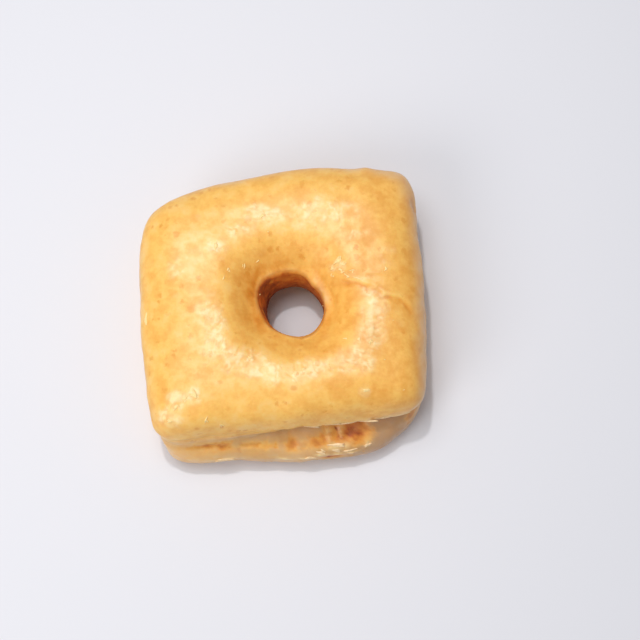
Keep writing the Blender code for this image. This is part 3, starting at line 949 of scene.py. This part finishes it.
def clustered(spots, seed):
    # each spot with a smaller companion beside it, so that it sets as an uneven little heap
    rng = np.random.default_rng(seed)
    beside = spots.copy()
    beside[:, :3] += rng.uniform(-1, 1, (len(spots), 3)) * spots[:, 4:5] * 0.45 * (1, 1, 0.5)
    beside[:, 3] += rng.uniform(-50, 50, len(spots))
    for column, least, most in ((4, 0.3, 0.7), (5, 0.6, 1.1), (6, 0.5, 0.9)):
        beside[:, column] *= rng.uniform(least, most, len(spots))
    return np.concatenate([spots, beside])


def crumbSpots(crust):
    # crumbs at random vertices of the crust: most are small
    rng = np.random.default_rng(chipLook["crumbSeed"])
    flat = crust.reshape(-1, 3)
    fit = np.flatnonzero(flat[:, 2] > 8)
    shortest, longest = chipLook["crumbLength"]
    spots = []
    for i in range(chipLook["crumbs"]):
        length = shortest + (longest - shortest) * rng.uniform() ** 2.5
        where = flat[rng.choice(fit)]
        spots.append((*where, rng.uniform(0, 180), length, length * rng.uniform(0.35, 0.7), 0.14))
    return np.array(spots)


def glazeMaterial(name, colour, roughness):
    material, tree, shader = newMaterial(name)
    cloud = noiseNode(tree, node(tree, "TexCoord", {}).outputs["Object"], 1400, 3, 0.6)
    darker = tuple(c * 0.88 for c in colour)
    mixed = mixColour(tree, rangeNode(tree, cloud, 0.35, 0.65), darker, colour)
    tree.links.new(mixed, shader.inputs["Base Color"])
    tree.links.new(rangeNode(tree, cloud, 0.3, 0.7, roughness, roughness + 0.15), shader.inputs["Roughness"])
    bumpInto(tree, shader, cloud, 0.00006, 0.6)
    return material


# the floor, the light and the camera

studio = {
    "floorSize": 3000, "floorDrop": 0.05, "floorColour": linear(226, 225, 230),
    # lights that point at the origin: place, size, power in watts
    "overhead": ((-130, 130, 700), 420, 1.8), "keyLight": ((-90, 240, 820), 40, 1.75),
    "leftLight": ((-440, -400, 500), 420, 1.80),
    "worldColour": (0.93, 0.96, 1.0), "worldStrength": 0.37,
    "lens": 75, "elevation": 78.6, "distance": 427.2,
    "holeAxis": (3.04, 1.49), "lookAt": (8.65, -5.34, 25.92),
}


def makeFloor():
    # a flat square just under the foot
    half = studio["floorSize"] / 2 * mm
    low = -studio["floorDrop"] * mm
    mesh = bpy.data.meshes.new("floor")
    corners = [(-half, -half, low), (half, -half, low), (half, half, low), (-half, half, low)]
    mesh.from_pydata(corners, [], [(0, 1, 2, 3)])
    floor = addObject("floor", mesh)
    material, _, shader = newMaterial("paleFloor")
    shader.inputs["Base Color"].default_value = (*studio["floorColour"], 1)
    shader.inputs["Roughness"].default_value = 0.6
    mesh.materials.append(material)


def turnTowards(thing, target):
    way = Vector(target) - thing.location
    thing.rotation_euler = way.to_track_quat("-Z", "Y").to_euler()


def makeLight(name):
    where, size, power = studio[name]
    light = bpy.data.lights.new(name, "AREA")
    light.shape = "DISK"
    light.size = size * mm
    light.energy = power
    lamp = addObject(name, light)
    lamp.location = [c * mm for c in where]
    turnTowards(lamp, (0, 0, 0))


def makeWorld():
    world = bpy.data.worlds.new("softRoom")
    bpy.context.scene.world = world
    world.use_nodes = True
    background = world.node_tree.nodes["Background"]
    background.inputs[0].default_value = (*studio["worldColour"], 1)
    background.inputs[1].default_value = studio["worldStrength"]


def makeCamera():
    camera = bpy.data.cameras.new("camera")
    camera.lens = studio["lens"]
    camera.sensor_width = 36
    camera.clip_start, camera.clip_end = 0.01, 20
    holder = addObject("camera", camera)
    up = math.radians(studio["elevation"])
    axisX, axisY = studio["holeAxis"]
    target = np.array(studio["lookAt"]) + (axisX, axisY, 0)
    back = np.array([0, -math.cos(up), math.sin(up)]) * studio["distance"]
    holder.location = (target + back) * mm
    turnTowards(holder, target * mm)
    bpy.context.scene.camera = holder


makeCamera()
makeWorld()
for lightName in ("overhead", "keyLight", "leftLight"):
    makeLight(lightName)
makeFloor()
bpy.context.scene.view_settings.view_transform = "Standard"
print("studio ready")

crustPoints, crustMasks, shift = makeCrust()
crustMesh = meshFromGrid("crust", crustPoints, crustMasks)
crust = place("crust", crustMesh, crustMaterial(frySpeckleGroup(), glazePlateGroup(), crustLook))
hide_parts("doughnut")
print("crust made:", len(crustMesh.polygons), "faces")

crustNormals = gridNormals(crustPoints)
toBox = np.array([shift[0], shift[1], 0, 0, 0, 0, 0])
chips, beads, hem = [np.array(chipLook[key]) + toBox for key in ("chips", "beads", "hem")]
spread, shape = chipLook["chipSeeds"]
chips = np.concatenate([clustered(chips, spread), crumbSpots(crustPoints)])
chipMesh = lensMesh("glazeChips", chips, crustPoints, crustNormals, shape)
place("glazeChips", chipMesh, glazeMaterial("driedGlaze", chipLook["colour"], 0.35))
spread, shape = chipLook["beadSeeds"]
beads = np.concatenate([clustered(beads, spread), hem])
beadMesh = lensMesh("glazeBeads", beads, crustPoints, crustNormals, shape)
place("glazeBeads", beadMesh, glazeMaterial("setGlaze", chipLook["beadColour"], 0.25))
print("glaze made:", len(chips), "chips and", len(beads), "beads")
